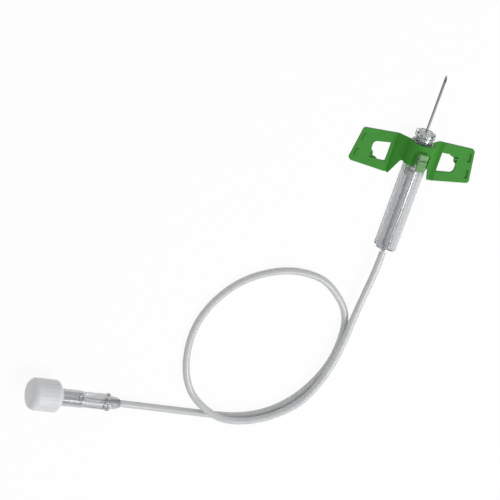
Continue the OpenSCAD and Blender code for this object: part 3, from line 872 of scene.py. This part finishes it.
@dataclass
class Cap:
    """Milky cap over the luer socket."""

    on: Connector
    length: float = 10.1
    bore: float = 8.2
    end_wall: float = 1.4
    end_round: float = 2.2
    rim_d: float = 6.0
    rim_lip: float = 0.5
    flutes: int = 24
    flute_depth: float = 0.07
    flute_share: float = 0.5
    plug_back: float = 2.2
    plug_gap: float = 0.35
    edge: float = 0.25
    segments: int = 240

    def fluted(self, angle: float) -> float:
        """Gives the outside radius where the grip flutes are."""
        pitch = 2 * math.pi / self.flutes
        off = abs((angle + pitch / 2) % pitch - pitch / 2) / (pitch * self.flute_share / 2)
        return self.on.cap_d / 2 - (self.flute_depth * math.sqrt(1 - off * off) if off < 1 else 0)

    def build(self) -> bpy.types.Object:
        """Turns the cap and dresses it."""
        outer, chamfer, start = self.on.cap_d / 2, self.on.rim_chamfer, self.on.show
        edge, inner = self.edge, self.length - self.end_wall
        rounding = [
            (
                self.length - self.end_round * (1 - math.sin(turn)),
                outer - self.end_round * (1 - math.cos(turn)),
            )
            for turn in (math.radians(step * 10) for step in range(10))
        ]
        plug_tip = self.on.luer_root_d / 2 - self.plug_gap
        plug_root = self.on.luer_mouth_d / 2 - self.plug_gap
        stations: list[Station] = [
            (self.plug_back, 0), (self.plug_back, plug_tip - edge), (self.plug_back + edge, plug_tip),
            (inner, plug_root), (inner, self.bore / 2 - edge), (inner - edge, self.bore / 2),
            (self.rim_lip + (self.bore - self.rim_d) / 2, self.bore / 2), (self.rim_lip, self.rim_d / 2),
            (0.1, self.rim_d / 2), (0, self.rim_d / 2 + 0.1),
            (0, outer - chamfer - edge), (edge * 0.4, outer - chamfer), (chamfer - edge, outer - edge * 0.9),
            (chamfer, outer - edge * 0.25), (chamfer + edge, outer),
            (chamfer + 0.35, outer), (chamfer + 0.7, self.fluted),
            (self.length - self.end_round - 0.5, self.fluted), (self.length - self.end_round - 0.1, outer),
            *rounding, (self.length, 0),
        ]
        placing = self.on.placing() @ Matrix.Translation((0, 0, start))
        piece = turned("connector_cap", stations, self.segments, placing)
        return dress(piece, CAP_MILKY, "connector_cap", "cap")


@dataclass
class Sheath:
    """Clear sheath with its crown, seat, rim and fluted body, and the plug in its rear."""

    length: float = 38.9
    outer_d: float = 7.0
    bore_d: float = 4.8
    flute_r: float = 1.6
    flute_depth: float = 0.5
    seat_d: float = 6.7
    rim_w: float = 1.2
    rim_step: float = 0.15
    rim_at: float = 10.32
    saddle_at: float = 3.1
    crown_d: float = 6.2
    crown_head: float = 1.5
    neck_d: float = 5.5
    foot_ring: float = 0.6
    foot_ring_d: float = 6.0
    notches: int = 8
    notch_w: float = 0.8
    notch_depth: float = 0.4
    notch_foot: float = 0.35
    front_wall: float = 1.2
    mouth_d: float = 3.2
    edge: float = 0.12
    segments: int = 256
    boss_d: float = 3.1
    boss_len: float = 1.6
    plug_len: float = 2.0
    tube_hole_d: float = 2.6

    def notched(self, angle: float) -> float:
        """Gives the crown's radius at an angle, less in the notches."""
        pitch = 2 * math.pi / self.notches
        off = abs(angle % pitch - pitch / 2)
        half = self.notch_w / self.crown_d
        rise = min(max((off - half * 0.85) / (half * 0.3), 0), 1)
        return self.crown_d / 2 - self.notch_depth * (1 - rise)

    def lobed(self, angle: float, less: float = 0.0) -> float:
        """Gives the body's radius at an angle, less in the four flutes.

        Args:
            angle: Angle about the axis.
            less: How much the outline is drawn in, in mm.
        """
        outer = self.outer_d / 2
        centre = outer - self.flute_depth + self.flute_r
        off = (angle + math.pi / 4) % (math.pi / 2) - math.pi / 4
        inside = (self.flute_r + less) ** 2 - (centre * math.sin(off)) ** 2
        if inside <= 0:
            return outer - less
        return min(outer - less, centre * math.cos(off) - math.sqrt(inside))

    def above_table(self, radius: float) -> Callable[[float], float]:
        """Flattens a ring where it would reach below the table."""

        def reach(angle: float) -> float:
            down = -math.sin(angle)
            return min(radius, DATUM.axis_z / down) if down > 0 else radius

        return reach

    def build(self) -> list[bpy.types.Object]:
        """Turns the sheath and its end plug and dresses them."""
        edge, bore = self.edge, self.bore_d / 2
        crown, neck, seat = self.crown_d / 2, self.neck_d / 2, self.seat_d / 2
        rim, ring, mouth = self.outer_d / 2 + self.rim_step, self.foot_ring_d / 2, self.mouth_d / 2
        rim_rear = self.rim_at + self.rim_w
        notch_end = self.crown_head - self.notch_foot
        stations: list[Station] = [
            (self.front_wall, bore), (self.front_wall, mouth), (edge, mouth), (0, mouth + edge),
            (0, lambda angle: self.notched(angle) - edge), (edge, self.notched),
            (notch_end, self.notched), (notch_end + 0.05, crown), (self.crown_head - edge, crown),
            (self.crown_head, crown - edge), (self.crown_head, neck + edge), (self.crown_head + edge, neck),
            (self.saddle_at - self.foot_ring, neck), (self.saddle_at - self.foot_ring, ring - edge),
            (self.saddle_at - self.foot_ring + edge, ring), (self.saddle_at, ring),
            (self.saddle_at, seat), (self.rim_at, seat), (self.rim_at, self.above_table(rim - edge)),
            (self.rim_at + edge, self.above_table(rim)), (rim_rear - edge, self.above_table(rim)),
            (rim_rear, self.above_table(rim - edge)), (rim_rear, self.lobed),
            (self.length - 0.4, self.lobed), (self.length - 0.12, lambda angle: self.lobed(angle, 0.12)),
            (self.length, lambda angle: self.lobed(angle, 0.4)),
            (self.length, bore + edge), (self.length - edge, bore),
        ]
        placing = DATUM.along_axis()
        shell = turned("clear_sheath", stations, self.segments, placing, 28)
        dress(shell, SHEATH_CLEAR, "sheath_body", "sheath")
        return [shell, self.plug(placing)]

    def plug(self, placing: Matrix) -> bpy.types.Object:
        """Turns the plug in the sheath's rear, with the boss that the tube leaves by."""
        wide, boss, hole, edge = self.bore_d / 2 - 0.02, self.boss_d / 2, self.tube_hole_d / 2, self.edge
        tail = self.length + self.boss_len
        stations: list[Station] = [
            (self.length - self.plug_len, hole), (self.length - self.plug_len, wide),
            (self.length - edge, wide), (self.length, wide - edge), (self.length, boss + edge),
            (self.length + edge, boss), (tail - 0.3, boss), (tail - 0.09, boss - 0.09), (tail, boss - 0.3),
            (tail, hole + 0.05), (tail - 0.05, hole),
        ]
        return dress(turned("rear_plug", stations, 96, placing), SHEATH_CLEAR, "sheath_body", "end_plug")


@dataclass
class Cannula:
    """Steel needle with its three grinds, and the bead of adhesive at its foot."""

    diameter: float = 0.8
    bore: float = 0.5
    foot: float = -6.3
    bevel: float = 18.0
    lancet_turn: float = 28.0
    lancet_extra: float = 6.0
    segments: int = 64
    bead: float = 0.15
    nose_back: float = 0.3
    nose_d: float = 2.6

    def end(self, angle: float, radius: float) -> float:
        """Finds where the grinds cut a line along the wall.

        Args:
            angle: Angle about the axis.
            radius: Radius of the line, in mm.

        Returns:
            Distance from the crown's face, in mm.
        """
        x, z = radius * math.cos(angle), radius * math.sin(angle)
        cuts = [(0.0, self.bevel)]
        cuts += [(side * self.lancet_turn, self.bevel + self.lancet_extra) for side in (-1, 1)]
        ends = []
        for turn, slope in cuts:
            up = z * math.cos(math.radians(turn)) + x * math.sin(math.radians(turn))
            ends.append(DATUM.tip - (up + self.diameter / 2) / math.tan(math.radians(slope)))
        return min(ends)

    def build(self) -> list[bpy.types.Object]:
        """Makes the needle and the bead and dresses them."""
        mesh = bmesh.new()
        outer, inner = self.diameter / 2, self.bore / 2
        rings = []
        for radius, stop in ((outer, False), (outer, True), (inner, True), (inner, False)):
            ring = []
            for step in range(self.segments):
                angle = 2 * math.pi * step / self.segments
                along = self.end(angle, radius) if stop else self.foot
                ring.append(mesh.verts.new((
                    radius * math.cos(angle), along, DATUM.axis_z + radius * math.sin(angle)
                )))
            rings.append(ring)
        for first, second in zip(rings, rings[1:] + rings[:1]):
            for step in range(self.segments):
                after = (step + 1) % self.segments
                mesh.faces.new((first[step], first[after], second[after], second[step]))
        bmesh.ops.recalc_face_normals(mesh, faces=mesh.faces)
        needle = to_object("steel_cannula", mesh, DATUM.from_face(), 30)
        dress(needle, STEEL, "needle_carrier", "needle")
        wide = self.nose_d / 2 - self.bead
        hole = outer + 0.02
        stations: list[Station] = [
            (self.nose_back, hole), (self.nose_back, wide), (self.nose_back - 0.06, wide - 0.1),
            (self.nose_back - 0.16, 0.82), (self.nose_back - 0.3, 0.62), (-self.bead, outer + 0.06),
            (-self.bead, hole),
        ]
        bead = turned("adhesive_bead", stations, 64, DATUM.along_axis())
        return [needle, dress(bead, ADHESIVE, "needle_carrier", "adhesive")]


@dataclass
class Wings:
    """Green moulding: saddle, wings and the release button, with the soft edges of a mould.

    Attributes:
        edge: Radius of the wings' edges.
        saddle_edge: Radius of the saddle's edges.
        saddle_flat: Angle in degrees below which its neighbouring faces are one face.
        button_edge: Radius of the button's edges.
        painted_light_foot: Height above the needle's axis above which the saddle's faces get the paler green
            of painted light.
        painted_light_half: Distance from the middle that this painted light on the block stays within.
    """

    edge: float = 0.14
    saddle_edge: float = 0.1
    saddle_flat: float = 0.5
    button_edge: float = 0.08
    painted_light_foot: float = 4.25
    painted_light_half: float = 1.5

    def build(self) -> list[bpy.types.Object]:
        """Softens the four green solids and dresses them."""
        saddle = dress(
            softened("saddle", "wing_saddle", self.saddle_edge, flat=self.saddle_flat),
            WING_GREEN, "sheath_body", "wing_saddle",
        )
        # Painted light: the block on top of the saddle gets the paler green
        self.paint_light_on_top(saddle)
        return [
            saddle,
            dress(softened("left_wing", "wing_left", self.edge), WING_GREEN, "left_wing", "wing_left"),
            dress(softened("right_wing", "wing_right", self.edge), WING_GREEN, "right_wing", "wing_right"),
            dress(
                softened("grip_button", "release_button", self.button_edge),
                PAINTED_LIGHT_GREEN, "button", "release_button",
            ),
        ]

    def paint_light_on_top(self, saddle: bpy.types.Object) -> None:
        """Paints light on the top of the saddle: the faces of the block in front of the button get the
        button's paler green, which is painted light.

        Args:
            saddle: Saddle that the block stands on.
        """
        saddle.data.materials.append(PAINTED_LIGHT_GREEN.make())
        for face in saddle.data.polygons:
            above = face.center.z / MM - DATUM.axis_z
            # Faces high on the saddle's middle get the paler green, as painted light on its top
            if above > self.painted_light_foot and abs(face.center.x) / MM < self.painted_light_half:
                face.material_index = 1


@dataclass
class LivingHinge:
    """Thin web of the green moulding along a crease, which bends as the wing folds.

    Attributes:
        side: -1 for the left wing and 1 for the right one.
        wing: Name of the wing's body.
        crease_x: Place of the crease, out from the middle.
        inside: How far the web reaches into the inner panel.
        reach: How far it reaches out over the wing, to the far wall of the wing's groove.
        dip: How far beyond the crease its top is lowest.
        low: Height of its underside.
        high: Height at which its top leaves the inner panel.
        foot: Height of its top where it is lowest.
        top: Height at which it meets the wing.
        front: Its front end, from the crown's face.
        rear: Its rear end, from the crown's face.
        across: Faces across the crease.
        lengthwise: Faces along the crease.
        bend_half: Half the width over which it bends; not used.
    """

    side: int
    wing: str
    crease_x: float = 7.0
    inside: float = 0.15
    reach: float = 1.26
    dip: float = 0.12
    low: float = 0.03
    high: float = 0.86
    foot: float = 0.55
    top: float = 0.88
    front: float = -3.14
    rear: float = -15.86
    across: int = 14
    lengthwise: int = 12
    bend_half: float = 0.25

    def build(self) -> bpy.types.Object:
        """Makes the web as a closed strip of many narrow faces."""
        mesh = bmesh.new()
        shares = [at / self.across for at in range(self.across + 1)]
        start = self.crease_x - self.inside
        columns = [start + (self.inside + self.reach) * share for share in shares]
        low_at = self.crease_x + self.dip
        tops = [
            self.high + (self.foot - self.high) * (x - start) / (low_at - start) if x < low_at
            else self.foot + (self.top - self.foot) * (x - low_at) / (self.reach - self.dip)
            for x in columns
        ]
        section = list(zip(columns, tops)) + [(x, self.low) for x in reversed(columns)]
        rows = []
        for row in range(self.lengthwise + 1):
            along = self.front + (self.rear - self.front) * row / self.lengthwise
            rows.append([mesh.verts.new((self.side * x, along, z)) for x, z in section])
        for first, second in zip(rows, rows[1:]):
            for at in range(len(section)):
                after = (at + 1) % len(section)
                mesh.faces.new((first[at], first[after], second[after], second[at]))
        mesh.faces.new(rows[0])
        mesh.faces.new(rows[-1])
        bmesh.ops.recalc_face_normals(mesh, faces=mesh.faces)
        name = "left_hinge" if self.side < 0 else "right_hinge"
        web = to_object(name, mesh, DATUM.from_face(), 40)
        web.data.materials.append(WING_GREEN.make())
        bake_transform(web)
        LOG.info("%s bends from sheath_body to %s", web.name, self.wing)
        return web


@dataclass
class Hub:
    """Milky hub inside the sheath, its edges rounded."""

    edge: float = 0.08

    def build(self) -> bpy.types.Object:
        """Softens the hub and dresses it."""
        return dress(softened("sliding_hub", "hub", self.edge), HUB_MILKY, "needle_carrier", "hub")


def main() -> None:
    """Builds the camera, the tube and what is on it, then the rest of the part and the studio."""
    logging.basicConfig(level=logging.INFO, format="%(message)s")
    View().build()
    connector = Connector()
    on_tube = [connector.build(), Cap(connector).build()]
    Tube().build(on_tube)
    hinges = (LivingHinge(-1, "left_wing"), LivingHinge(1, "right_wing"))
    for assembly in (Sheath(), Cannula(), Wings(), *hinges, Hub()):
        assembly.build()
    Studio().build()


if __name__ == "__main__":
    main()
